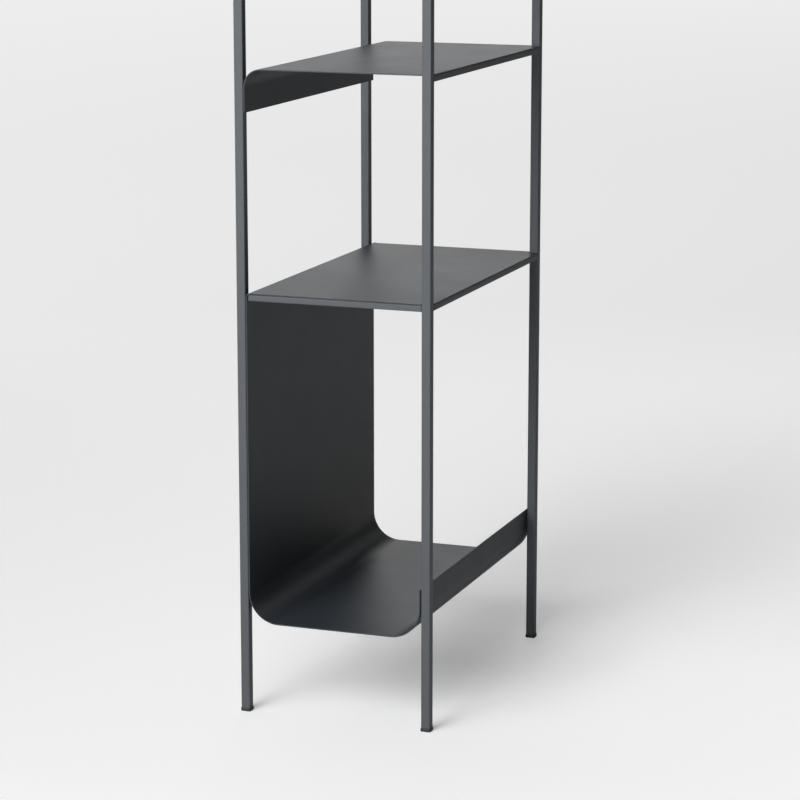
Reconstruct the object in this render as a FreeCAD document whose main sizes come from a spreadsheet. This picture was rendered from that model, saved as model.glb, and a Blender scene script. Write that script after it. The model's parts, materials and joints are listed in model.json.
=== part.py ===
import FreeCAD, Part
import os
import Sketcher

# Open shelving unit of powder-coated steel. Four slim square posts carry one folded ribbon of sheet,
# which is the bottom tray, its back and the lowest shelf, and two folded shelves above it.
# +X is to the right seen from the front, the front faces -Y, and the floor is at Z = 0.
# All lengths are in millimetres.

SIZES = [
    # whole unit
    ("unit_width", 478.5, "outer faces of the posts, left to right"),
    ("unit_depth", 273.5, "outer faces of the posts, front to back"),
    ("unit_height", 1190.0, "floor to the top of the post caps"),
    # posts
    ("tube_side", 12.7, "side of the square post tube"),
    ("tube_wall", 1.2, "wall of the post tube"),
    ("tube_corner", 1.5, "outer corner radius of the post tube"),
    # folded sheets
    ("sheet_thick", 1.5, "thickness of every folded sheet"),
    ("sheet_gap", 0.9, "gap between a sheet and the posts beside it"),
    ("sheet_corner", 1.5, "rounding of the corners of a sheet"),
    ("end_reach", 0.8, "sheet ends beyond the end faces of the posts"),
    # ribbon: tray, back and lowest shelf
    ("tray_base", 127.05, "floor to the underside of the tray"),
    ("lip_height", 68.95, "underside of the tray to the top of its front lip"),
    ("tray_bend", 42.3, "outer radius of the two wide bends of the tray"),
    ("crown_bend", 3.5, "outer radius of the tight bend behind the lowest shelf"),
    ("shelf_level", 579.75, "floor to the top of the lowest shelf"),
    ("shelf_trim", 3.15, "ends of the lowest shelf short of the ends of the back panel"),
    # upper shelves
    ("post_rise", 15.25, "top of the top shelf to the top of the post caps"),
    ("drop_height", 57.6, "height of the turned-down back of an upper shelf"),
    ("drop_bend", 24.0, "outer radius of the bend above that back"),
    # rails under the shelves
    ("rail_side", 8.3, "side of the square rail tube"),
    ("rail_wall", 1.0, "wall of the rail tube"),
    ("rail_corner", 1.3, "outer corner radius of the rail tube"),
    # pads welded between the sheets and the posts
    ("pad_width", 8.0, "width of a weld pad"),
    ("pad_height", 20.0, "height of a weld pad"),
    ("pad_margin", 16.0, "end of the back panel's straight stretch to the nearest weld pad"),
    # plugs at the ends of the posts
    ("glide_height", 4.8, "height of the foot glide below the tube"),
    ("glide_flare", 0.8, "foot glide beyond the faces of the tube"),
    ("glide_bevel", 0.75, "bevel round the shoulder of the foot glide"),
    ("sole_bevel", 0.5, "bevel round the sole of the foot glide"),
    ("cap_height", 1.8, "height of the post cap above the tube"),
    ("cap_bevel", 0.6, "bevel round the top of the post cap"),
    ("spigot_length", 16.0, "length of a plug inside the tube"),
    ("spigot_play", 0.45, "spigot to the inner faces of the tube"),
    ("spigot_wall", 1.3, "wall of the hollow spigot"),
    ("fin_play", 0.05, "grip fins to the inner faces of the tube"),
    ("fin_relief", 1.6, "grip fins stop short of the corners of the tube"),
    ("fin_thick", 0.8, "thickness of a grip fin"),
    ("fin_pitch", 3.6, "distance between grip fins"),
]
FIN_COUNT = 3
BACK_PAD_ROWS = 3
SLACK_SHARE = 0.02  # share of the sheet's thickness within which two levels count as the same
SHELF_NAMES = ("mid", "upper", "top")
ENDS = (("left", -1), ("right", 1))
SIDES = (("front", -1), ("rear", 1))

# Places that several pieces share. Across the depth they are counted from the front faces of the posts.
FRONT = "(tube_side + sheet_gap)"
BACK = "(unit_depth - tube_side - sheet_gap)"
SPAN = "(unit_width + 2 * end_reach)"
NOTCH = "(tube_side + sheet_gap + end_reach)"
BORE = "(tube_side - 2 * tube_wall)"

doc = FreeCAD.newDocument("shelving_unit")
sizes = doc.addObject("Spreadsheet::Sheet", "Sizes")
for row, (alias, size, meaning) in enumerate(SIZES, start=1):
    sizes.set("A%d" % row, alias)
    sizes.set("B%d" % row, str(size))
    sizes.set("C%d" % row, meaning)
    sizes.setAlias("B%d" % row, alias)
doc.recompute()
ALIASES = {entry[0] for entry in SIZES}


def linked(formula):
    """Formula with every size word pointing at its cell in the sheet."""
    words = formula.replace("(", " ( ").replace(")", " ) ").split()
    return " ".join("Sizes." + word if word in ALIASES else word for word in words)


def value(formula):
    """Present value of a formula in millimetres."""
    return float(sizes.evalExpression(linked(formula)))


def bind(thing, path, formula):
    """Tie one property of a thing to a formula in the named sizes."""
    thing.setExpression(path, linked(formula))


def seat(thing, x, y, z):
    """Tie the place of a piece to formulas in the named sizes."""
    bind(thing, "Placement.Base.x", x)
    bind(thing, "Placement.Base.y", y)
    bind(thing, "Placement.Base.z", z)


def new_body(name):
    """Body of one piece, labelled as its node."""
    body = doc.addObject("PartDesign::Body", name)
    body.Label = name
    return body


def new_sketch(body, plane, level="0"):
    """Sketch on a plane of the body's own origin, lifted off it by a level."""
    sketch = body.newObject("Sketcher::SketchObject", body.Name + "_outline")
    for feature in body.Origin.OriginFeatures:
        if feature.Role == plane:
            sketch.AttachmentSupport = [(feature, "")]
    sketch.MapMode = "FlatFace"
    if level != "0":
        bind(sketch, "AttachmentOffset.Base.z", level)
    return sketch


def hold(sketch, constraint, name, formula):
    """Add a constraint whose size follows a formula."""
    index = sketch.addConstraint(constraint)
    label = "%s_%d" % (name, index)
    sketch.renameConstraint(index, label)
    bind(sketch, "Constraints." + label, formula)


def add_outline(sketch, corners):
    """Closed outline of level and upright lines; each corner is (across, up, radius)."""
    count = len(corners)
    spots = [FreeCAD.Vector(value(across), value(up), 0) for across, up, radius in corners]
    radii = [value(radius) for across, up, radius in corners]
    ahead = [(spots[(i + 1) % count] - spots[i]).normalize() for i in range(count)]
    lines = []
    for i in range(count):
        j = (i + 1) % count
        start = spots[i] + ahead[i] * radii[i]
        end = spots[j] - ahead[i] * radii[j]
        line = sketch.addGeometry(Part.LineSegment(start, end), False)
        lines.append(line)
        upright = abs(ahead[i].x) < abs(ahead[i].y)
        sketch.addConstraint(Sketcher.Constraint("Vertical" if upright else "Horizontal", line))
        offset = corners[i][0] if upright else corners[i][1]
        if offset == "0":
            axis = -2 if upright else -1
            sketch.addConstraint(Sketcher.Constraint("PointOnObject", line, 1, axis))
        else:
            kind = "DistanceX" if upright else "DistanceY"
            reach = Sketcher.Constraint(kind, -1, 1, line, 1, value(offset))
            hold(sketch, reach, "offset", offset)
    for i in range(count):
        before = lines[i - 1]
        after = lines[i]
        if radii[i] == 0:
            sketch.addConstraint(Sketcher.Constraint("Coincident", before, 2, after, 1))
            continue
        centre = spots[i] + (ahead[i] - ahead[i - 1]) * radii[i]
        first = spots[i] - ahead[i - 1] * radii[i]
        last = spots[i] + ahead[i] * radii[i]
        left_turn = ahead[i - 1].cross(ahead[i]).z > 0
        if not left_turn:
            first, last = last, first
        circle = Part.Circle(centre, FreeCAD.Vector(0, 0, 1), radii[i])
        bend = Part.ArcOfCircle(circle, circle.parameter(first), circle.parameter(last))
        arc = sketch.addGeometry(bend, False)
        entry, leave = (1, 2) if left_turn else (2, 1)
        sketch.addConstraint(Sketcher.Constraint("Tangent", before, 2, arc, entry))
        sketch.addConstraint(Sketcher.Constraint("Tangent", after, 1, arc, leave))
        hold(sketch, Sketcher.Constraint("Radius", arc, radii[i]), "radius", corners[i][2])


def add_square(sketch, side, corner, inset="0"):
    """Square outline with equal corner radii, set in from the sketch's origin."""
    far = "(%s + %s)" % (inset, side)
    add_outline(sketch, [
        (inset, inset, corner),
        (far, inset, corner),
        (far, far, corner),
        (inset, far, corner),
    ])


def add_tube(sketch, side, wall, corner):
    """Section of a square tube with its corner at the sketch's origin."""
    add_square(sketch, side, corner)
    add_square(sketch, "(%s - 2 * %s)" % (side, wall), "(%s - %s)" % (corner, wall), wall)


def pad(body, sketch, length, reverse=False):
    """Raise a sketch along its normal, or the other way."""
    feature = body.newObject("PartDesign::Pad", body.Name + "_pad")
    feature.Profile = sketch
    feature.Reversed = reverse
    bind(feature, "Length", length)
    sketch.Visibility = False
    doc.recompute()
    return feature


def pocket(body, sketch, length):
    """Cut a sketch into the piece against its normal."""
    before = body.Shape.Volume
    feature = body.newObject("PartDesign::Pocket", body.Name + "_pocket")
    feature.Profile = sketch
    feature.Reversed = False
    bind(feature, "Length", length)
    sketch.Visibility = False
    doc.recompute()
    if not body.Shape.Volume < before:
        raise RuntimeError("the pocket of %s cuts nothing" % body.Name)
    return feature


def dress(body, kind, path, formula, choose):
    """Round or bevel the edges that a rule chooses on the piece so far."""
    base = body.Tip
    names = ["Edge%d" % i for i, edge in enumerate(base.Shape.Edges, start=1) if choose(edge)]
    if not names:
        raise RuntimeError("no edge of %s to dress" % body.Name)
    feature = body.newObject("PartDesign::" + kind, body.Name + "_" + kind.lower())
    feature.Base = (base, names)
    bind(feature, path, formula)
    doc.recompute()
    return feature


def is_same(length, other):
    """Whether two lengths agree as closely as a drawing of this unit needs."""
    return abs(length - other) < value("sheet_thick") * SLACK_SHARE


def rim_at(level):
    """Rule for the edges that lie level at one height."""
    def choose(edge):
        box = edge.BoundBox
        return is_same(box.ZMin, level) and is_same(box.ZMax, level)

    return choose


def is_sheet_corner(edge):
    """Rule for the edges that run straight through the thickness of a folded sheet."""
    first, last = edge.firstVertex().Point, edge.lastVertex().Point
    return is_same(edge.Length, value("sheet_thick")) and is_same(first.x, last.x)


def level_of(index):
    """Top of a shelf; the shelves are evenly spaced from the lowest to the top one."""
    steps = "%d / %d" % (index, len(SHELF_NAMES) - 1)
    return "(shelf_level + (unit_height - post_rise - shelf_level) * %s)" % steps if index else "shelf_level"


def make_post(name, x_sign, y_sign):
    """Square tube from the foot glide to the post cap."""
    body = new_body(name)
    section = new_sketch(body, "XY_Plane")
    add_tube(section, "tube_side", "tube_wall", "tube_corner")
    pad(body, section, "unit_height - glide_height - cap_height")
    x = "unit_width / 2 - tube_side" if x_sign > 0 else "0 - unit_width / 2"
    y = "unit_depth / 2 - tube_side" if y_sign > 0 else "0 - unit_depth / 2"
    seat(body, x, y, "glide_height")
    return body


def make_plug(name, x_sign, y_sign, is_cap):
    """Plastic plug with a square head outside the tube and a hollow, finned spigot inside it."""
    height = "cap_height" if is_cap else "glide_height"
    flare = "0" if is_cap else "glide_flare"
    side = "(tube_side + 2 * %s)" % flare
    body = new_body(name)

    head = new_sketch(body, "XY_Plane")
    add_square(head, side, "(tube_corner + %s)" % flare)
    pad(body, head, height, reverse=True)
    if is_cap:
        dress(body, "Chamfer", "Size", "cap_bevel", rim_at(-value(height)))
    else:
        dress(body, "Chamfer", "Size", "glide_bevel", rim_at(0))
        dress(body, "Chamfer", "Size", "sole_bevel", rim_at(-value(height)))

    spigot_side = "(%s - 2 * spigot_play)" % BORE
    spigot_edge = "(%s + tube_wall + spigot_play)" % flare
    spigot = new_sketch(body, "XY_Plane")
    add_square(spigot, spigot_side, "0", spigot_edge)
    pad(body, spigot, "spigot_length")

    fin = new_sketch(body, "XY_Plane", "fin_pitch")
    near = "(%s + tube_wall + fin_play)" % flare
    near_step = "(%s + fin_relief)" % near
    far = "(%s - %s)" % (side, near)
    far_step = "(%s - %s)" % (side, near_step)
    add_outline(fin, [
        (near_step, near, "0"), (far_step, near, "0"), (far_step, near_step, "0"),
        (far, near_step, "0"), (far, far_step, "0"), (far_step, far_step, "0"),
        (far_step, far, "0"), (near_step, far, "0"), (near_step, far_step, "0"),
        (near, far_step, "0"), (near, near_step, "0"), (near_step, near_step, "0"),
    ])
    first_fin = pad(body, fin, "fin_thick")
    fins = body.newObject("PartDesign::LinearPattern", name + "_fins")
    fins.Originals = [first_fin]
    fins.Direction = (fin, ["N_Axis"])
    bind(fins, "Length", "fin_pitch * %d" % (FIN_COUNT - 1))
    fins.Occurrences = FIN_COUNT
    body.Tip = fins
    doc.recompute()

    hollow = new_sketch(body, "XY_Plane", "spigot_length")
    hollow_side = "(%s - 2 * spigot_wall)" % spigot_side
    add_square(hollow, hollow_side, "0", "(%s + spigot_wall)" % spigot_edge)
    pocket(body, hollow, "spigot_length")

    x = "unit_width / 2 + %s - %s" % (flare, side) if x_sign > 0 else "0 - unit_width / 2 - %s" % flare
    if is_cap:
        # turned over about X, so that the spigot hangs into the tube
        turn = FreeCAD.Rotation(FreeCAD.Vector(1, 0, 0), 180)
        body.Placement = FreeCAD.Placement(FreeCAD.Vector(), turn)
        y = "unit_depth / 2 + %s" % flare if y_sign > 0 else "%s - unit_depth / 2 - %s" % (side, flare)
        seat(body, x, y, "unit_height - cap_height")
    else:
        y = "unit_depth / 2 + %s - %s" % (flare, side) if y_sign > 0 else "0 - unit_depth / 2 - %s" % flare
        seat(body, x, y, "glide_height")
    return body


def notch_front(body, level):
    """Cut both front corners of a shelf back round the front posts."""
    cut = new_sketch(body, "XY_Plane", level)
    for near, far in (("0", NOTCH), ("(%s - %s)" % (SPAN, NOTCH), SPAN)):
        add_outline(cut, [(near, "0", "0"), (far, "0", "0"), (far, FRONT, "0"), (near, FRONT, "0")])
    pocket(body, cut, "sheet_thick")


def trim_ends(body, level):
    """Cut both ends of a shelf back, from the front to just before the bend behind it."""
    cut = new_sketch(body, "XY_Plane", level)
    rear = "(%s - crown_bend - 2 * sheet_corner)" % BACK
    for near, far in (("0", "shelf_trim"), ("(%s - shelf_trim)" % SPAN, SPAN)):
        add_outline(cut, [(near, "0", "0"), (far, "0", "0"), (far, rear, "0"), (near, rear, "0")])
    pocket(body, cut, "sheet_thick")


def round_sheet(body):
    """Round every corner of a folded sheet."""
    dress(body, "Fillet", "Radius", "sheet_corner", is_sheet_corner)


def make_ribbon(name):
    """One folded sheet: front lip, tray floor, back panel and the lowest shelf."""
    body = new_body(name)
    rise = "(shelf_level - tray_base)"
    section = new_sketch(body, "YZ_Plane")
    add_outline(section, [
        (FRONT, "lip_height", "0"),
        (FRONT, "0", "tray_bend"),
        (BACK, "0", "tray_bend"),
        (BACK, rise, "crown_bend"),
        ("0", rise, "0"),
        ("0", "(%s - sheet_thick)" % rise, "0"),
        ("(%s - sheet_thick)" % BACK, "(%s - sheet_thick)" % rise, "(crown_bend - sheet_thick)"),
        ("(%s - sheet_thick)" % BACK, "sheet_thick", "(tray_bend - sheet_thick)"),
        ("(%s + sheet_thick)" % FRONT, "sheet_thick", "(tray_bend - sheet_thick)"),
        ("(%s + sheet_thick)" % FRONT, "lip_height", "0"),
    ])
    pad(body, section, SPAN)
    notch_front(body, rise)
    trim_ends(body, rise)
    round_sheet(body)
    seat(body, "0 - unit_width / 2 - end_reach", "0 - unit_depth / 2", "tray_base")
    return body


def make_upper_shelf(name, level):
    """Folded shelf with a wide bend and a turned-down back."""
    body = new_body(name)
    section = new_sketch(body, "YZ_Plane")
    add_outline(section, [
        ("0", "drop_height", "0"),
        ("0", "(drop_height - sheet_thick)", "0"),
        ("(%s - sheet_thick)" % BACK, "(drop_height - sheet_thick)", "(drop_bend - sheet_thick)"),
        ("(%s - sheet_thick)" % BACK, "0", "0"),
        (BACK, "0", "0"),
        (BACK, "drop_height", "drop_bend"),
    ])
    pad(body, section, SPAN)
    notch_front(body, "drop_height")
    round_sheet(body)
    seat(body, "0 - unit_width / 2 - end_reach", "0 - unit_depth / 2", "%s - drop_height" % level)
    return body


def make_front_rail(name, level):
    """Square tube between the front posts, flush with their front faces, under a shelf."""
    body = new_body(name)
    section = new_sketch(body, "YZ_Plane")
    add_tube(section, "rail_side", "rail_wall", "rail_corner")
    pad(body, section, "unit_width - 2 * tube_side")
    seat(body, "tube_side - unit_width / 2", "0 - unit_depth / 2", "%s - sheet_thick - rail_side" % level)
    return body


def make_end_rail(name, x_sign, level):
    """Square tube under a shelf's end, from the bend of the back panel to a front post."""
    body = new_body(name)
    section = new_sketch(body, "XZ_Plane")
    add_tube(section, "rail_side", "rail_wall", "rail_corner")
    pad(body, section, "%s - crown_bend - tube_side" % BACK)
    x = "unit_width / 2 - rail_side" if x_sign > 0 else "0 - unit_width / 2"
    seat(body, x, "%s - crown_bend - unit_depth / 2" % BACK, "%s - sheet_thick - rail_side" % level)
    return body


def make_pads(name, places):
    """Weld pads that fill the gap between a sheet and the posts; each place is (side sign, height)."""
    pads = []
    for y_sign, height in places:
        for end_name, x_sign in ENDS:
            block = doc.addObject("Part::Box", "%s_%d" % (name, len(pads)))
            bind(block, "Length", "pad_width")
            bind(block, "Width", "sheet_gap")
            bind(block, "Height", "pad_height")
            x = "unit_width / 2 - (tube_side + pad_width) / 2"
            if x_sign < 0:
                x = "(tube_side - pad_width) / 2 - unit_width / 2"
            y = "unit_depth / 2 - tube_side - sheet_gap" if y_sign > 0 else "tube_side - unit_depth / 2"
            seat(block, x, y, height)
            pads.append(block)
    group = doc.addObject("Part::Compound", name)
    group.Label = name
    group.Links = pads
    return group


pieces = []
for end_name, x_sign in ENDS:
    for side_name, y_sign in SIDES:
        place = "%s_%s" % (side_name, end_name)
        pieces.append(make_post("post_" + place, x_sign, y_sign))
        pieces.append(make_plug("glide_" + place, x_sign, y_sign, is_cap=False))
        pieces.append(make_plug("cap_" + place, x_sign, y_sign, is_cap=True))

pieces.append(make_ribbon("tray_ribbon"))
for end_name, x_sign in ENDS:
    pieces.append(make_end_rail("end_rail_" + end_name, x_sign, level_of(0)))
for index, shelf_name in enumerate(SHELF_NAMES):
    pieces.append(make_front_rail("front_rail_" + shelf_name, level_of(index)))
    if index:
        pieces.append(make_upper_shelf("shelf_" + shelf_name, level_of(index)))
        drop_pad = "%s - drop_height + (drop_height - drop_bend - pad_height) / 2" % level_of(index)
        pieces.append(make_pads("pads_" + shelf_name, [(1, drop_pad)]))

lowest_pad = "(tray_base + tray_bend + pad_margin)"
highest_pad = "(shelf_level - crown_bend - pad_margin - pad_height)"
ribbon_places = [(-1, "tray_base + (tray_bend + lip_height - pad_height) / 2")]
for row in range(BACK_PAD_ROWS):
    steps = "%d / %d" % (row, BACK_PAD_ROWS - 1)
    ribbon_places.append((1, "%s + (%s - %s) * %s" % (lowest_pad, highest_pad, lowest_pad, steps)))
pieces.append(make_pads("pads_ribbon", ribbon_places))

doc.recompute()
for thing in doc.Objects:
    if "Invalid" in thing.State or "Error" in thing.State:
        raise RuntimeError("%s did not compute" % thing.Name)
os.makedirs("parts", exist_ok=True)
for piece in pieces:
    if piece.Shape.isNull() or not piece.Shape.isValid():
        raise RuntimeError("%s has no sound shape" % piece.Label)
    piece.Shape.exportStep("parts/%s.step" % piece.Label)
    box = piece.Shape.BoundBox
    print(piece.Label, len(piece.Shape.Solids), round(piece.Shape.Volume, 1),
          [round(v, 2) for v in (box.XMin, box.YMin, box.ZMin, box.XMax, box.YMax, box.ZMax)])
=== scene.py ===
import json
import math

import bmesh
import bpy
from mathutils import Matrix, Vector

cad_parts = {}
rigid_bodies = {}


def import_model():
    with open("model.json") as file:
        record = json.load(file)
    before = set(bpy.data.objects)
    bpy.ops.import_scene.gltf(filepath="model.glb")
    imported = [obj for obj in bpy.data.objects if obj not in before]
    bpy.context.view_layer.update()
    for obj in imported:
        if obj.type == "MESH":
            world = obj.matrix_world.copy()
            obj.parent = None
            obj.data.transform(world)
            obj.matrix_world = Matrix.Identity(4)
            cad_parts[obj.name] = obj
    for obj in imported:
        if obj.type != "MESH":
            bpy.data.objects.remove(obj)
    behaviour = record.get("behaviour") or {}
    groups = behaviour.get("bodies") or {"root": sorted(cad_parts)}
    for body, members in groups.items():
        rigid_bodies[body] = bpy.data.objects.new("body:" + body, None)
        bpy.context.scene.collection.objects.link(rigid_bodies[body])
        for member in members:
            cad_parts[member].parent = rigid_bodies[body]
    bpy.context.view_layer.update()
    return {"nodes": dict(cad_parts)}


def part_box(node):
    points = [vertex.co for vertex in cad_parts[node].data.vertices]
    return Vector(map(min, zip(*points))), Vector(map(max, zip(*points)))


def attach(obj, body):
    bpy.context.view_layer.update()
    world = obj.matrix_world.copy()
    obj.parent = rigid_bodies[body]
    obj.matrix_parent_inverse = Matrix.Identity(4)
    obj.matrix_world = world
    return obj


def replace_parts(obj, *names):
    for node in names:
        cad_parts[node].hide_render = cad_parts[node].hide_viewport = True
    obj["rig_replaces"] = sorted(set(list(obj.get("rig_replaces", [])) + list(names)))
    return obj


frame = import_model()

bl_info = {
    "name": "Shelving Unit",
    "version": (1, 0, 0),
    "blender": (4, 5, 0),
    "location": "View3D > Sidebar > Shelving Unit",
    "description": "Models a powder-coated steel shelving unit with a deep bottom tray, and its studio",
    "category": "Add Mesh",
}

MM = 0.001
X, Y, Z = range(3)
# Two places that are closer than this are one
NEAR = 0.01 * MM
# Cosine above which a face looks straight along an axis, and below which two edges meet square
STRAIGHT = 0.99
SQUARE = 0.1
# Corners of the unit, with the one that is modelled first
CORNERS = (("front", "left"), ("front", "right"), ("rear", "left"), ("rear", "right"))

# Segments of the rounding at a corner, along an edge and where it is finest
CORNER_SEGMENTS = 6
EDGE_SEGMENTS = 3
FINE_SEGMENTS = 2
# Steps round the tray's wide bends, the bend behind the lowest shelf and the one behind an upper shelf
TRAY_BEND_STEPS = 24
CROWN_BEND_STEPS = 10
DROP_BEND_STEPS = 20
# Degrees above which an edge counts as a sheet's cut edge, as a tube's sawn end and as sharp
CUT_ANGLE = 50
SAWN_ANGLE = 60
SHARP_ANGLE = 38

# Where most of a noise texture's values lie
NOISE_SPAN = {"From Min": 0.3, "From Max": 0.7}

# The camera's place, how far it looks up from straight down and round from +Y in degrees, its sensor
# and lens in millimetres and the distance that it shows
CAMERA_PLACE = Vector((-3.6465, -1.3365, 1.21506))
CAMERA_TILT = 78.109
CAMERA_HEADING = -69.972
CAMERA_SENSOR = 36
CAMERA_LENS = 127.351
CAMERA_FAR = 200

# Round softboxes of one width at one distance from the unit's middle: degrees round it from +X,
# degrees up and power in watts, fitted to the tones of the photograph
UNIT_MIDDLE = Vector((0, 0, 0.6))
SOFTBOX_WIDTH = 2.0
SOFTBOX_DISTANCE = 6.0
SOFTBOXES = (
    (120, 6, 12.2),
    (140, 6, 7.4),
    (20, 12, 22.5),
    (50, 12, 10.6),
    (75, 12, 11.8),
    (350, 12, 8.4),
    (155, 16, 56.0),
    (170, 16, 48.1),
    (155, 26, 44.0),
    (170, 26, 74.6),
    (185, 26, 20.0),
    (140, 36, 33.6),
    (155, 36, 9.6),
    (170, 36, 53.9),
    (185, 36, 32.9),
    (20, 40, 12.7),
    (50, 40, 10.8),
    (75, 40, 9.1),
    (170, 48, 19.4),
    (185, 48, 20.2),
    (185, 62, 12.9),
    (0, 90, 12.7),
)

# Round sheet of paper on the floor
PAPER_RADIUS = 60
PAPER_SIDES = 96
# Tones that only the camera sees on the paper, at the left and at the right of the picture, fitted to
# the photograph too. The first two are a painted glow that adds to the softboxes' light and lifts the
# unit's shadow on the paper, from the nearest paper to where that light is left out, and the last two
# stand alone from there to far away as the backdrop's tone.
PAPER_GLOW_TONES = (
    (0.16, 0.40, 0.79, 0.86),
    (0.31, 0.50, 0.74, 0.85),
)
# Metres from the camera at which the tones begin, the softboxes' light starts to go and is gone, and
# the tones end
PAPER_NEAR = 3.3
PAPER_LIT = 5.3
PAPER_UNLIT = 7.0
PAPER_FAR = 20.0
# Half the picture's width as a share of the distance from the camera
PICTURE_SHARE = 0.14
# Outside the picture the tones follow the distance from the unit, and come this many metres later
ROUND_LAG = 1.0
# Faint glow of the paper for all other rays, a fill light, and the metres from the unit's middle over
# which it begins
FILL_GLOW = 0.142
FILL_START = 1.9
FILL_FULL = 2.1


def linear(colour):
    """Linear red, green and blue of an sRGB hex value."""
    parts = [int(colour[i:i + 2], 16) / 255 for i in (1, 3, 5)]
    return tuple(p / 12.92 if p <= 0.04045 else ((p + 0.055) / 1.055) ** 2.4 for p in parts)


def length(name, description, default):
    """Length that a user can change, in metres."""
    return bpy.props.FloatProperty(
        name=name, description=description, default=default, min=0, unit="LENGTH", precision=5)


def colour(name, description, default):
    """Colour that a user can change."""
    return bpy.props.FloatVectorProperty(
        name=name, description=description, default=linear(default), subtype="COLOR", min=0, max=1)


class UnitSizes(bpy.types.PropertyGroup):
    """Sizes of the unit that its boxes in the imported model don't give."""

    sheet_thickness: length("Sheet Thickness", "Thickness of the folded sheets", 1.5 * MM)
    sheet_gap: length("Sheet Gap", "Gap between a sheet and the posts", 0.9 * MM)
    sheet_corner: length("Sheet Corner", "Rounding of a sheet's corners", 1.5 * MM)
    sheet_edge: length("Sheet Edge", "Rounding that tumbling and powder leave on a cut edge", 0.2 * MM)
    lip_height: length("Lip Height", "Underside of the tray to the top of its lip", 68.95 * MM)
    tray_bend: length("Tray Bend", "Outer radius of the tray's two wide bends", 42.3 * MM)
    crown_bend: length("Crown Bend", "Outer radius of the bend behind the lowest shelf", 3.5 * MM)
    shelf_trim: length("Shelf Trim", "Ends of the lowest shelf short of its back's", 3.15 * MM)
    drop_bend: length("Drop Bend", "Outer radius of the bend behind an upper shelf", 24 * MM)
    tube_corner: length("Tube Corner", "Outer corner radius of a post", 1.5 * MM)
    tube_wall: length("Tube Wall", "Wall of a post", 1.2 * MM)
    rail_corner: length("Rail Corner", "Outer corner radius of a rail", 1.3 * MM)
    rail_wall: length("Rail Wall", "Wall of a rail", 1 * MM)
    tube_edge: length("Tube Edge", "Rounding of a tube's sawn end", 0.15 * MM)
    shoulder_bevel: length("Shoulder Bevel", "Bevel round the shoulder of a foot glide", 0.75 * MM)
    sole_bevel: length("Sole Bevel", "Rounding round the sole of a foot glide", 0.5 * MM)
    cap_bevel: length("Cap Bevel", "Rounding round the top of a post cap", 0.6 * MM)
    spigot_side: length("Spigot Side", "Side of a plug's spigot inside the tube", 9.4 * MM)
    spigot_wall: length("Spigot Wall", "Wall of the hollow spigot", 1.3 * MM)
    fin_side: length("Fin Side", "Side of the grip fins on a spigot", 10.2 * MM)
    fin_thickness: length("Fin Thickness", "Thickness of a grip fin", 0.8 * MM)
    fin_pitch: length("Fin Pitch", "Distance from one grip fin to the next", 3.6 * MM)
    fin_count: bpy.props.IntProperty(
        name="Fin Count", description="Grip fins on each spigot", default=3, min=1)


class UnitFinish(bpy.types.PropertyGroup):
    """Colours of the unit and its studio, and the grain of the powder coat."""

    coat: colour("Sheet Coat", "Graphite powder coat on the folded sheets", "#2F343A")
    # Lighter than the sheet coat: partly the thinner coat over a cut edge, partly a painted highlight
    # along the edge
    cut_edge_highlight: colour("Cut Edge", "The same coat where it thins over a sheet's cut edge", "#44474B")
    # The sheets' powder painted a shade lighter on the tubes: painted light that brightens the posts'
    # end faces
    tubes: colour("Tube Coat", "The same powder on the square tubes, a shade lighter there", "#484C50")
    plug: colour("Plug Plastic", "Foot glides and post caps", "#2E2F30")
    floor: colour("Floor", "Seamless floor of the studio", "#EBEBEB")
    haze: colour("Haze", "Background above the floor's far edge", "#EAEAEA")
    grain: length("Coat Grain", "Spacing of the powder coat's fine grain", 1.6 * MM)
    mottle: length("Coat Mottle", "Spacing of the slow changes in the coat's film", 55 * MM)


def sizes():
    """The sizes that the panel shows."""
    return bpy.context.scene.unit_sizes


def finish():
    """The finishes that the panel shows."""
    return bpy.context.scene.unit_finish


# Modelling

def start(name):
    """Name the primitive that was just added and open it for editing."""
    piece = bpy.context.object
    piece.name = name
    piece.data.name = name
    bpy.ops.object.transform_apply(location=True, rotation=True, scale=True)
    bpy.ops.object.mode_set(mode="EDIT")
    return piece


def clear_selection():
    """Deselect every object, because a new primitive adds itself to what is selected."""
    for thing in bpy.context.view_layer.objects:
        thing.select_set(False)


def start_block(name, low, high):
    """Block between two corners, open for editing."""
    clear_selection()
    bpy.ops.mesh.primitive_cube_add(size=1, location=(low + high) / 2)
    bpy.context.object.scale = high - low
    return start(name)


def start_panel(name, left, right, y, bottom, top):
    """Upright panel that faces the front, open for editing."""
    clear_selection()
    place = ((left + right) / 2, y, (bottom + top) / 2)
    bpy.ops.mesh.primitive_plane_add(size=1, location=place, rotation=(math.pi / 2, 0, 0))
    bpy.context.object.scale = (right - left, top - bottom, 1)
    return start(name)


def middle(face):
    """Middle of a face's corners."""
    return sum((corner.co for corner in face.verts), Vector()) / len(face.verts)


def lies_at(part, level):
    """Whether a face or an edge lies at one level."""
    return all(abs(end.co.z - level) < NEAR for end in part.verts)


def runs_along(edge, axis):
    """Whether an edge of a block runs along an axis."""
    first, second = edge.verts
    return abs(first.co[axis] - second.co[axis]) > NEAR


def is_outline_corner(corner):
    """Whether the outline of a flat sheet turns square at a corner."""
    if len(corner.link_edges) != 2:
        return False
    first, second = [edge.other_vert(corner).co - corner.co for edge in corner.link_edges]
    return abs(first.normalized().dot(second.normalized())) < SQUARE


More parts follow.
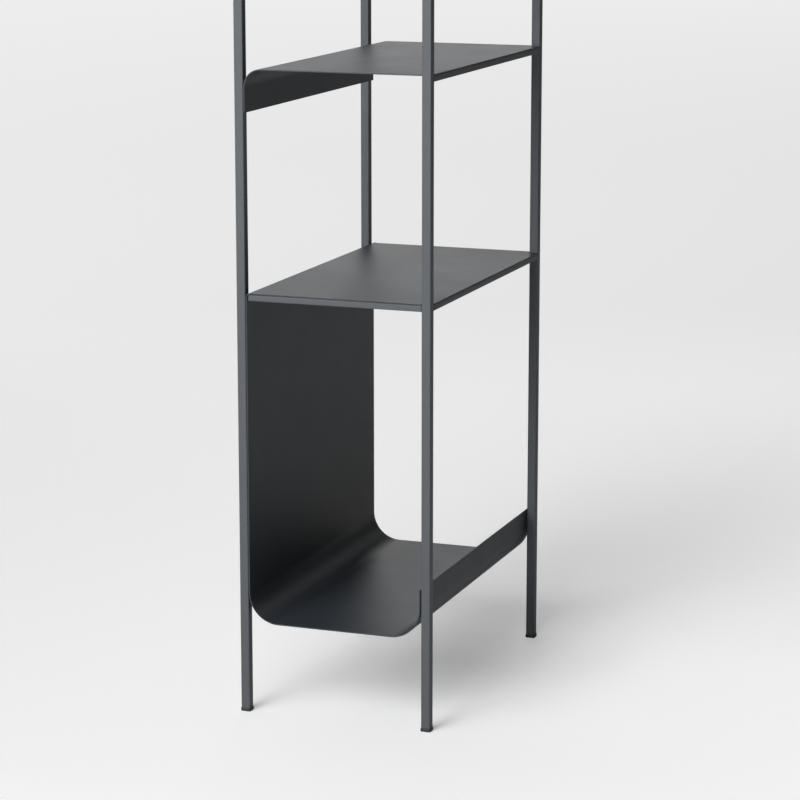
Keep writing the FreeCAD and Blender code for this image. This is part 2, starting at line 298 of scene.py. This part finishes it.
def select(kind, rule):
    """Select the faces, edges or corners that a rule picks in the mesh being edited."""
    bpy.ops.mesh.select_mode(type=kind)
    bpy.ops.mesh.select_all(action="DESELECT")
    mesh = bpy.context.edit_object.data
    shape = bmesh.from_edit_mesh(mesh)
    parts = {"VERT": shape.verts, "EDGE": shape.edges, "FACE": shape.faces}[kind]
    picked = [part for part in parts if rule(part)]
    if not picked:
        raise RuntimeError("nothing to select on " + bpy.context.edit_object.name)
    for part in picked:
        part.select_set(True)
    shape.select_flush_mode()
    bmesh.update_edit_mesh(mesh)


def round_off(affect, radius, segments):
    """Round the selected edges or corners."""
    bpy.ops.mesh.bevel(affect=affect, offset=radius, segments=segments, profile=0.5)


def fold(y, z, steps):
    """Bend the selected end edge of a sheet a quarter turn about a line along X."""
    bpy.ops.mesh.spin(steps=steps, angle=-math.pi / 2, center=(0, y, z), axis=(1, 0, 0))


def draw_out(y=0.0, z=0.0):
    """Lengthen a sheet from its selected end edge."""
    bpy.ops.mesh.extrude_edges_move(TRANSFORM_OT_translate={"value": (0, y, z)})


def cut_shelf(z, *cuts):
    """Cut both ends of a shelf back.

    Each cut keeps what lies between a left and a right place, and what lies behind a back place.
    """
    def on_top(face):
        return abs(face.normal.z) > STRAIGHT and abs(middle(face).z - z) < NEAR

    def cut_off(face, left, right, back):
        place = middle(face)
        return on_top(face) and place.y < back and not left < place.x < right

    along_x, along_y = (1, 0, 0), (0, 1, 0)
    for left, right, back in cuts:
        for place, way in (((left, 0, z), along_x), ((right, 0, z), along_x), ((0, back, z), along_y)):
            select("FACE", on_top)
            bpy.ops.mesh.bisect(plane_co=place, plane_no=way)
    for cut in cuts:
        select("FACE", lambda face: cut_off(face, *cut))
        bpy.ops.mesh.delete(type="FACE")
    select("FACE", on_top)
    bpy.ops.mesh.dissolve_faces()


def notch():
    """Cut that clears both front posts."""
    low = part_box("post_front_left")[1]
    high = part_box("post_front_right")[0]
    gap = sizes().sheet_gap
    return low.x + gap, high.x - gap, low.y + gap


def apply_modifier(piece, kind, **settings):
    """Add one modifier with its settings and apply it."""
    modifier = piece.modifiers.new(kind.title(), kind)
    for name, setting in settings.items():
        setattr(modifier, name, setting)
    bpy.ops.object.modifier_apply(modifier=modifier.name)


def close_sheet(piece):
    """Round a sheet's corners, give it its thickness and soften its cut edges."""
    select("VERT", is_outline_corner)
    round_off("VERTICES", sizes().sheet_corner, CORNER_SEGMENTS)
    bpy.ops.object.mode_set(mode="OBJECT")
    # The rim and the bevel get the second material, the cut edge's lighter coat with its painted
    # highlight
    apply_modifier(piece, "SOLIDIFY", thickness=sizes().sheet_thickness, offset=-1,
                   use_even_offset=True, material_offset_rim=1)
    apply_modifier(piece, "BEVEL", width=sizes().sheet_edge, segments=EDGE_SEGMENTS,
                   limit_method="ANGLE", angle_limit=math.radians(CUT_ANGLE), material=1)


def stand_for(piece, node):
    """Let a piece ride on the unit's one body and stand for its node."""
    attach(piece, "root")
    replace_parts(piece, node)


def complete(piece, node, slot, *materials):
    """Shade a piece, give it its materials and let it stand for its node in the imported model."""
    for material in materials:
        piece.data.materials.append(material)
    bpy.ops.object.shade_smooth_by_angle(angle=math.radians(SHARP_ANGLE))
    apply_modifier(piece, "WEIGHTED_NORMAL", keep_sharp=True)
    stand_for(piece, node)


def copy_piece(piece, first, name, node):
    """Copy a finished piece, with its own mesh, from the place of its first node to another one's."""
    clear_selection()
    piece.select_set(True)
    bpy.context.view_layer.objects.active = piece
    bpy.ops.object.duplicate(linked=False)
    copy = bpy.context.object
    copy.name = name
    copy.data.name = name
    copy.parent = None
    del copy["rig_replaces"]
    bpy.ops.transform.translate(value=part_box(node)[0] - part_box(first)[0])
    bpy.ops.object.transform_apply(location=True, rotation=True, scale=True)
    stand_for(copy, node)


def copy_to_corners(piece, kind, words):
    """Copy the piece at the unit's first corner to the other three."""
    first = "%s_%s_%s" % (kind, *CORNERS[0])
    for side, end in CORNERS[1:]:
        name = "%s_%s_%s" % (side, end, words)
        copy_piece(piece, first, name, "%s_%s_%s" % (kind, side, end))


def model_tube(name, node, axis, corner, wall):
    """Square tube that fills the box of its node along one axis."""
    low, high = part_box(node)
    piece = start_block(name, low, high)
    select("FACE", lambda face: abs(face.normal[axis]) > STRAIGHT)
    bpy.ops.mesh.delete(type="FACE")
    select("EDGE", lambda edge: runs_along(edge, axis))
    round_off("EDGES", corner, CORNER_SEGMENTS)
    bpy.ops.object.mode_set(mode="OBJECT")
    apply_modifier(piece, "SOLIDIFY", thickness=wall, offset=-1, use_even_offset=True)
    apply_modifier(piece, "BEVEL", width=sizes().tube_edge, segments=FINE_SEGMENTS,
                   limit_method="ANGLE", angle_limit=math.radians(SAWN_ANGLE))
    return piece


def widen(centre, before, after):
    """Start a new step of a plug from its selected end face, wider or narrower than the last."""
    bpy.ops.mesh.extrude_region()
    share = after / before
    bpy.ops.transform.resize(value=(share, share, 1), center_override=centre)


def lengthen(way):
    """Push the selected end face of a plug up or down."""
    bpy.ops.mesh.extrude_region_move(TRANSFORM_OT_translate={"value": (0, 0, way)})


def model_plug(name, node, tube, way, rims):
    """Plug with a square head outside the tube and a finned, hollow spigot inside it.

    way is 1 where the spigot points up and -1 where it points down. rims are the roundings of the
    head and their segments, beside the tube and away from it.
    """
    low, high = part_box(node)
    tube_low, tube_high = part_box(tube)
    if way > 0:
        seat, outer, tip = tube_low.z, low.z, high.z
    else:
        seat, outer, tip = tube_high.z, high.z, low.z
    reach = abs(tip - seat)
    side = high.x - low.x
    corner = sizes().tube_corner + (side - (tube_high.x - tube_low.x)) / 2
    centre = Vector(((low.x + high.x) / 2, (low.y + high.y) / 2, seat))
    head_low = Vector((low.x, low.y, min(seat, outer)))
    head_high = Vector((high.x, high.y, max(seat, outer)))
    piece = start_block(name, head_low, head_high)
    select("EDGE", lambda edge: runs_along(edge, Z))
    round_off("EDGES", corner, CORNER_SEGMENTS)
    for level, (rim, segments) in zip((seat, outer), rims):
        if rim:
            select("EDGE", lambda edge: lies_at(edge, level))
            round_off("EDGES", rim, segments)

    select("FACE", lambda face: lies_at(face, seat))
    spigot, fin = sizes().spigot_side, sizes().fin_side
    pitch, thickness = sizes().fin_pitch, sizes().fin_thickness
    widen(centre, side - 2 * rims[0][0], spigot)
    lengthen(way * pitch)
    for number in range(1, sizes().fin_count + 1):
        last = number == sizes().fin_count
        widen(centre, spigot, fin)
        lengthen(way * thickness)
        widen(centre, fin, spigot)
        lengthen(way * ((reach - number * pitch if last else pitch) - thickness))
    widen(centre, spigot, spigot - 2 * sizes().spigot_wall)
    lengthen(-way * reach)
    bpy.ops.mesh.select_all(action="SELECT")
    bpy.ops.mesh.normals_make_consistent(inside=False)
    bpy.ops.object.mode_set(mode="OBJECT")
    return piece


# Materials

def add_node(tree, kind, settings=None, links=None):
    """Add one node with its settings, and plug other nodes' sockets into its inputs."""
    node = tree.nodes.new(kind)
    for name, setting in (settings or {}).items():
        if isinstance(name, int) or name in node.inputs:
            node.inputs[name].default_value = setting
        else:
            setattr(node, name, setting)
    for name, socket in (links or {}).items():
        tree.links.new(socket, node.inputs[name])
    return node


def new_material(name):
    """Empty node material, or None where one of that name is already made."""
    if name in bpy.data.materials:
        return None
    material = bpy.data.materials.new(name)
    material.use_nodes = True
    material.node_tree.nodes.clear()
    return material


def opaque(shade, share=1.0):
    """Colour with an alpha of one, made lighter or darker by a share."""
    return (shade[0] * share, shade[1] * share, shade[2] * share, 1)


def powder_coat(name, shade, roughness, depth):
    """Fine-texture polyester powder, baked on blasted steel.

    It gives the eye a dead-even satin grey: no sparkle, a broad soft sheen at low angles, a faint
    slow mottle where the film is thicker, and a grain that only shows from close by. The real grain
    is about 0.2 mm and can't show in a picture of the whole unit, so it is drawn coarser.
    """
    material = new_material(name)
    if material is None:
        return bpy.data.materials[name]
    tree = material.node_tree
    place = add_node(tree, "ShaderNodeTexCoord").outputs["Object"]
    mottle = add_node(tree, "ShaderNodeTexNoise",
                      {"Scale": 1 / finish().mottle, "Detail": 3.0, "Roughness": 0.55},
                      {"Vector": place})
    grain = add_node(tree, "ShaderNodeTexNoise",
                     {"Scale": 1 / finish().grain, "Detail": 2.0, "Roughness": 0.6},
                     {"Vector": place})
    peel_spacing = 5 * finish().grain
    peel = add_node(tree, "ShaderNodeTexNoise",
                    {"Scale": 1 / peel_spacing, "Detail": 1.0, "Roughness": 0.4},
                    {"Vector": place})

    # How far the film's tone, the grain's tone and the roughness stray to either side
    film_share, speck_share, satin_step = 0.03, 0.035, 0.015
    film = add_node(tree, "ShaderNodeMix",
                    {"data_type": "RGBA",
                     "A": opaque(shade, 1 - film_share), "B": opaque(shade, 1 + film_share)},
                    {"Factor": mottle.outputs["Fac"]})
    specks = add_node(tree, "ShaderNodeMapRange",
                      {**NOISE_SPAN, "To Min": 1 - speck_share, "To Max": 1 + speck_share},
                      {"Value": grain.outputs["Fac"]})
    tint = add_node(tree, "ShaderNodeVectorMath", {"operation": "SCALE"},
                    {0: film.outputs["Result"], "Scale": specks.outputs["Result"]})
    satin = add_node(tree, "ShaderNodeMapRange",
                     {**NOISE_SPAN, "To Min": roughness - satin_step, "To Max": roughness + satin_step},
                     {"Value": mottle.outputs["Fac"]})

    # Relief of the slow orange peel with the grain on it
    swell = add_node(tree, "ShaderNodeBump", {"Strength": 0.25, "Distance": depth},
                     {"Height": peel.outputs["Fac"]})
    texture = add_node(tree, "ShaderNodeBump", {"Strength": 0.35, "Distance": depth},
                       {"Height": grain.outputs["Fac"], "Normal": swell.outputs["Normal"]})
    surface = add_node(tree, "ShaderNodeBsdfPrincipled", {"IOR": 1.5, "Metallic": 0.0},
                       {"Base Color": tint.outputs["Vector"], "Roughness": satin.outputs["Result"],
                        "Normal": texture.outputs["Normal"]})
    add_node(tree, "ShaderNodeOutputMaterial", None, {"Surface": surface.outputs["BSDF"]})
    return material


def sheet_coat():
    """Coat on the broad faces of a folded sheet."""
    return powder_coat("Powder Coat on Folded Sheet", finish().coat, 0.5, 0.03 * MM)


def edge_coat_and_highlight():
    """Coat on a cut edge, where the powder draws back and lies a little thinner and smoother. Its
    lighter colour is partly that thinner coat and partly a painted highlight along the edge.
    """
    return powder_coat("Powder Coat on Cut Edge", finish().cut_edge_highlight, 0.45, 0.015 * MM)


def tube_coat_painted_lighter():
    """Coat on the square tubes, sprayed from all round, with a shallower grain than on sheet. It is the
    sheets' powder painted a shade lighter, as painted light on the posts' end faces.
    """
    return powder_coat("Powder Coat on Square Tube", finish().tubes, 0.5, 0.02 * MM)


def plug_plastic():
    """Injection-moulded polypropylene with a fine spark-eroded skin.

    It is a shade darker than the steel beside it and slightly waxy, with no mottle to speak of.
    """
    name = "Moulded Polypropylene"
    material = new_material(name)
    if material is None:
        return bpy.data.materials[name]
    tree = material.node_tree
    place = add_node(tree, "ShaderNodeTexCoord").outputs["Object"]
    spark_spacing, spark_depth = 0.9 * MM, 0.02 * MM
    skin = add_node(tree, "ShaderNodeTexNoise",
                    {"Scale": 1 / spark_spacing, "Detail": 2.0, "Roughness": 0.5}, {"Vector": place})
    plug = finish().plug
    shade = add_node(tree, "ShaderNodeMix",
                     {"data_type": "RGBA", "A": opaque(plug, 0.94), "B": opaque(plug, 1.06)},
                     {"Factor": skin.outputs["Fac"]})
    relief = add_node(tree, "ShaderNodeBump", {"Strength": 0.3, "Distance": spark_depth},
                      {"Height": skin.outputs["Fac"]})
    wax = add_node(tree, "ShaderNodeMapRange", {**NOISE_SPAN, "To Min": 0.52, "To Max": 0.6},
                   {"Value": skin.outputs["Fac"]})
    surface = add_node(tree, "ShaderNodeBsdfPrincipled", {"IOR": 1.49},
                       {"Base Color": shade.outputs["Result"], "Roughness": wax.outputs["Result"],
                        "Normal": relief.outputs["Normal"]})
    add_node(tree, "ShaderNodeOutputMaterial", None, {"Surface": surface.outputs["BSDF"]})
    return material


def seamless_paper():
    """Matte white paper that runs from under the unit up into the far background.

    It gives the eye an even pale ground: the unit's soft shadows near it, lifted by a painted glow that
    only the camera sees, and further off a tone that drifts a little from one side to the other and
    meets no line.
    """
    material = new_material("Seamless Matte Paper")
    tree = material.node_tree
    seen = add_node(tree, "ShaderNodeLightPath").outputs["Is Camera Ray"]
    place = add_node(tree, "ShaderNodeTexCoord").outputs["Object"]

    # Distance along the picture's middle line in front of the camera, and from the unit elsewhere
    heading = math.radians(CAMERA_HEADING)
    camera_distance = CAMERA_PLACE.xy.length
    onward = add_node(tree, "ShaderNodeVectorMath",
                      {"operation": "DOT_PRODUCT", 1: (-math.sin(heading), math.cos(heading), 0)},
                      {0: place})
    ahead = add_node(tree, "ShaderNodeMath", {"operation": "ADD", 1: camera_distance},
                     {0: onward.outputs["Value"]})
    radius = add_node(tree, "ShaderNodeVectorMath", {"operation": "LENGTH"},
                      {0: place}).outputs["Value"]
    around = add_node(tree, "ShaderNodeMath", {"operation": "ADD", 1: camera_distance - ROUND_LAG},
                      {0: radius})
    reach = add_node(tree, "ShaderNodeMath", {"operation": "MAXIMUM"},
                     {0: ahead.outputs["Value"], 1: around.outputs["Value"]}).outputs["Value"]

    # Way from the picture's left side to its right one, from 0 to 1
    across = add_node(tree, "ShaderNodeVectorMath",
                      {"operation": "DOT_PRODUCT", 1: (math.cos(heading), math.sin(heading), 0)},
                      {0: place})
    slant = add_node(tree, "ShaderNodeMath", {"operation": "DIVIDE"},
                     {0: across.outputs["Value"], 1: reach})
    side = add_node(tree, "ShaderNodeMapRange", {"From Min": -PICTURE_SHARE, "From Max": PICTURE_SHARE},
                    {"Value": slant.outputs["Value"]})

    unlit = add_node(tree, "ShaderNodeMapRange",
                     {"interpolation_type": "SMOOTHSTEP",
                      "From Min": PAPER_LIT, "From Max": PAPER_UNLIT},
                     {"Value": reach}).outputs["Result"]
    # The close tone is a painted glow that adds to the softboxes' light near the unit and lifts its
    # shadow; the distant tone is the backdrop's own
    tones = []
    for nearest, ending, beyond, farthest in PAPER_GLOW_TONES:
        close = add_node(tree, "ShaderNodeMapRange",
                         {"From Min": PAPER_NEAR, "From Max": PAPER_UNLIT,
                          "To Min": nearest, "To Max": ending},
                         {"Value": reach})
        distant = add_node(tree, "ShaderNodeMapRange",
                           {"From Min": PAPER_LIT, "From Max": PAPER_FAR,
                            "To Min": beyond, "To Max": farthest},
                           {"Value": reach})
        tones.append(add_node(tree, "ShaderNodeMix", None,
                              {"Factor": unlit, "A": close.outputs["Result"],
                               "B": distant.outputs["Result"]}))
    tone = add_node(tree, "ShaderNodeMix", None,
                    {"Factor": side.outputs["Result"], "A": tones[0].outputs["Result"],
                     "B": tones[1].outputs["Result"]})

    fill = add_node(tree, "ShaderNodeMapRange",
                    {"From Min": FILL_START, "From Max": FILL_FULL, "To Max": FILL_GLOW},
                    {"Value": radius})
    glow = add_node(tree, "ShaderNodeMix", {"data_type": "RGBA"},
                    {"Factor": seen, "A": fill.outputs["Result"], "B": tone.outputs["Result"]})
    fade = add_node(tree, "ShaderNodeMath", {"operation": "MULTIPLY"}, {0: seen, 1: unlit})
    paper = add_node(tree, "ShaderNodeMix",
                     {"data_type": "RGBA", "A": opaque(finish().floor), "B": (0, 0, 0, 1)},
                     {"Factor": fade.outputs["Value"]})
    surface = add_node(tree, "ShaderNodeBsdfPrincipled",
                       {"Roughness": 0.95, "IOR": 1.3, "Emission Strength": 1.0},
                       {"Base Color": paper.outputs["Result"],
                        "Emission Color": glow.outputs["Result"]})
    add_node(tree, "ShaderNodeOutputMaterial", None, {"Surface": surface.outputs["BSDF"]})
    return material


# Operators

class SHELVINGUNIT_OT_posts(bpy.types.Operator):
    """Model the four square posts"""

    bl_idname = "shelvingunit.posts"
    bl_label = "Posts"
    bl_options = {"REGISTER", "UNDO"}

    def execute(self, context):
        first = "post_front_left"
        post = model_tube("front_left_post", first, Z, sizes().tube_corner, sizes().tube_wall)
        complete(post, first, "post_coat", tube_coat_painted_lighter())
        copy_to_corners(post, "post", "post")
        return {"FINISHED"}


class SHELVINGUNIT_OT_plugs(bpy.types.Operator):
    """Model the plastic foot glides and post caps"""

    bl_idname = "shelvingunit.plugs"
    bl_label = "Glides and Caps"
    bl_options = {"REGISTER", "UNDO"}

    def execute(self, context):
        shoulder = (sizes().shoulder_bevel, FINE_SEGMENTS)
        sole = (sizes().sole_bevel, EDGE_SEGMENTS)
        flush = (0, 0)
        top = (sizes().cap_bevel, EDGE_SEGMENTS)
        kinds = (
            ("glide", "foot_glide", 1, (shoulder, sole)),
            ("cap", "post_cap", -1, (flush, top)),
        )
        for kind, words, way, rims in kinds:
            first = kind + "_front_left"
            plug = model_plug("front_left_" + words, first, "post_front_left", way, rims)
            complete(plug, first, "plug_plastic", plug_plastic())
            copy_to_corners(plug, kind, words)
        return {"FINISHED"}


class SHELVINGUNIT_OT_tray_ribbon(bpy.types.Operator):
    """Fold the one sheet that is the tray, its back and the lowest shelf"""

    bl_idname = "shelvingunit.tray_ribbon"
    bl_label = "Tray, Back and Lowest Shelf"
    bl_options = {"REGISTER", "UNDO"}

    def execute(self, context):
        low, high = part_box("tray_ribbon")
        lip = notch()[2]
        bend, crown = sizes().tray_bend, sizes().crown_bend
        trim, corner = sizes().shelf_trim, sizes().sheet_corner
        sheet = start_panel("folded_tray_sheet", low.x, high.x, lip, low.z + bend,
                            low.z + sizes().lip_height)
        select("EDGE", lambda edge: lies_at(edge, low.z + bend))
        # From the lip round to the tray's floor, up the back and forward along the lowest shelf
        fold(lip + bend, low.z + bend, TRAY_BEND_STEPS)
        draw_out(y=high.y - lip - 2 * bend)
        fold(high.y - bend, low.z + bend, TRAY_BEND_STEPS)
        draw_out(z=high.z - low.z - bend - crown)
        fold(high.y - crown, high.z - crown, CROWN_BEND_STEPS)
        draw_out(y=low.y - high.y + crown)
        cut_shelf(high.z, notch(), (low.x + trim, high.x - trim, high.y - crown - 2 * corner))
        close_sheet(sheet)
        complete(sheet, "tray_ribbon", "sheet_coat", sheet_coat(), edge_coat_and_highlight())
        return {"FINISHED"}


class SHELVINGUNIT_OT_upper_shelves(bpy.types.Operator):
    """Fold the two upper shelves with their turned-down backs"""

    bl_idname = "shelvingunit.upper_shelves"
    bl_label = "Upper Shelves"
    bl_options = {"REGISTER", "UNDO"}

    def execute(self, context):
        low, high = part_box("shelf_upper")
        bend = sizes().drop_bend
        shelf = start_panel("upper_shelf_sheet", low.x, high.x, high.y, low.z, high.z - bend)
        bpy.ops.mesh.select_all(action="SELECT")
        bpy.ops.mesh.flip_normals()
        select("EDGE", lambda edge: lies_at(edge, high.z - bend))
        fold(high.y - bend, high.z - bend, DROP_BEND_STEPS)
        draw_out(y=low.y - high.y + bend)
        cut_shelf(high.z, notch())
        close_sheet(shelf)
        complete(shelf, "shelf_upper", "sheet_coat", sheet_coat(), edge_coat_and_highlight())
        copy_piece(shelf, "shelf_upper", "top_shelf_sheet", "shelf_top")
        return {"FINISHED"}


class SHELVINGUNIT_OT_rails(bpy.types.Operator):
    """Model the thin square rails under the shelves"""

    bl_idname = "shelvingunit.rails"
    bl_label = "Rails"
    bl_options = {"REGISTER", "UNDO"}

    def execute(self, context):
        corner, wall = sizes().rail_corner, sizes().rail_wall
        first = "front_rail_mid"
        rail = model_tube("mid_front_rail", first, X, corner, wall)
        complete(rail, first, "rail_coat", tube_coat_painted_lighter())
        for shelf in ("upper", "top"):
            copy_piece(rail, first, shelf + "_front_rail", "front_rail_" + shelf)
        first = "end_rail_left"
        rail = model_tube("left_end_rail", first, Y, corner, wall)
        complete(rail, first, "rail_coat", tube_coat_painted_lighter())
        copy_piece(rail, first, "right_end_rail", "end_rail_right")
        return {"FINISHED"}


class SHELVINGUNIT_OT_weld_pads(bpy.types.Operator):
    """Coat the small weld pads between the sheets and the posts"""

    bl_idname = "shelvingunit.weld_pads"
    bl_label = "Weld Pads"
    bl_options = {"REGISTER", "UNDO"}

    def execute(self, context):
        for node in ("pads_ribbon", "pads_upper", "pads_top"):
            pads = frame["nodes"][node]
            pads.data.materials.clear()
            # The pads take the tube coat, painted a shade lighter as painted light
            pads.data.materials.append(tube_coat_painted_lighter())
        return {"FINISHED"}


class SHELVINGUNIT_OT_studio(bpy.types.Operator):
    """Set up the pale floor, the soft lamps and the camera"""

    bl_idname = "shelvingunit.studio"
    bl_label = "Studio"
    bl_options = {"REGISTER", "UNDO"}

    def execute(self, context):
        scene = context.scene
        scene.view_settings.view_transform = "Standard"
        self.lay_floor()
        self.leave_air_dark(scene)
        self.hang_lamps()
        self.place_camera(scene)
        return {"FINISHED"}

    def lay_floor(self):
        """Roll out the paper under the unit."""
        clear_selection()
        bpy.ops.mesh.primitive_circle_add(vertices=PAPER_SIDES, radius=PAPER_RADIUS, fill_type="NGON")
        floor = bpy.context.object
        floor.name = "studio_floor"
        floor.data.materials.append(seamless_paper())

    def leave_air_dark(self, scene):
        """Show the haze to the camera alone, so that only the softboxes and the paper give light."""
        world = bpy.data.worlds.new("Studio Air")
        world.use_nodes = True
        tree = world.node_tree
        tree.nodes.clear()
        seen = add_node(tree, "ShaderNodeLightPath").outputs["Is Camera Ray"]
        haze = add_node(tree, "ShaderNodeBackground", {"Color": opaque(finish().haze)},
                        {"Strength": seen})
        add_node(tree, "ShaderNodeOutputWorld", None, {"Surface": haze.outputs["Background"]})
        scene.world = world

    def hang_lamps(self):
        """Hang the softboxes round the unit, facing its middle."""
        for number, (bearing, height, power) in enumerate(SOFTBOXES, 1):
            bearing, height = math.radians(bearing), math.radians(height)
            way = Vector((math.cos(height) * math.cos(bearing), math.cos(height) * math.sin(bearing),
                          math.sin(height)))
            bpy.ops.object.light_add(type="AREA", location=UNIT_MIDDLE + SOFTBOX_DISTANCE * way)
            lamp = bpy.context.object
            lamp.name = "softbox_%d" % number
            lamp.rotation_euler = way.to_track_quat("Z", "Y").to_euler()
            lamp.data.shape = "DISK"
            lamp.data.size = SOFTBOX_WIDTH
            lamp.data.energy = power
            lamp.visible_camera = False

    def place_camera(self, scene):
        """Set the camera up where the photograph was taken."""
        bpy.ops.object.camera_add(location=CAMERA_PLACE)
        camera = bpy.context.object
        camera.name = "studio_camera"
        camera.rotation_euler = (math.radians(CAMERA_TILT), 0, math.radians(CAMERA_HEADING))
        camera.data.sensor_width = CAMERA_SENSOR
        camera.data.lens = CAMERA_LENS
        camera.data.clip_end = CAMERA_FAR
        scene.camera = camera


class SHELVINGUNIT_PT_panel(bpy.types.Panel):
    """Sizes, finishes and pieces of the shelving unit"""

    bl_idname = "SHELVINGUNIT_PT_panel"
    bl_label = "Shelving Unit"
    bl_space_type = "VIEW_3D"
    bl_region_type = "UI"
    bl_category = "Shelving Unit"

    def draw(self, context):
        for title, group in (("Sizes", sizes()), ("Finish", finish())):
            box = self.layout.box()
            box.label(text=title)
            for name in group.__annotations__:
                box.prop(group, name)
        for operator in OPERATORS:
            self.layout.operator(operator.bl_idname)


OPERATORS = (
    SHELVINGUNIT_OT_posts,
    SHELVINGUNIT_OT_plugs,
    SHELVINGUNIT_OT_tray_ribbon,
    SHELVINGUNIT_OT_upper_shelves,
    SHELVINGUNIT_OT_rails,
    SHELVINGUNIT_OT_weld_pads,
    SHELVINGUNIT_OT_studio,
)
CLASSES = (UnitSizes, UnitFinish) + OPERATORS + (SHELVINGUNIT_PT_panel,)


def register():
    """Add the unit's classes and its settings to Blender."""
    for cls in CLASSES:
        bpy.utils.register_class(cls)
    bpy.types.Scene.unit_sizes = bpy.props.PointerProperty(type=UnitSizes)
    bpy.types.Scene.unit_finish = bpy.props.PointerProperty(type=UnitFinish)


def unregister():
    """Take the unit's classes and settings out of Blender again."""
    del bpy.types.Scene.unit_finish
    del bpy.types.Scene.unit_sizes
    for cls in reversed(CLASSES):
        bpy.utils.unregister_class(cls)


def main():
    """Build the unit and its studio."""
    register()
    bpy.ops.shelvingunit.posts()
    bpy.ops.shelvingunit.plugs()
    bpy.ops.shelvingunit.tray_ribbon()
    bpy.ops.shelvingunit.upper_shelves()
    bpy.ops.shelvingunit.rails()
    bpy.ops.shelvingunit.weld_pads()
    bpy.ops.shelvingunit.studio()


if __name__ == "__main__":
    main()
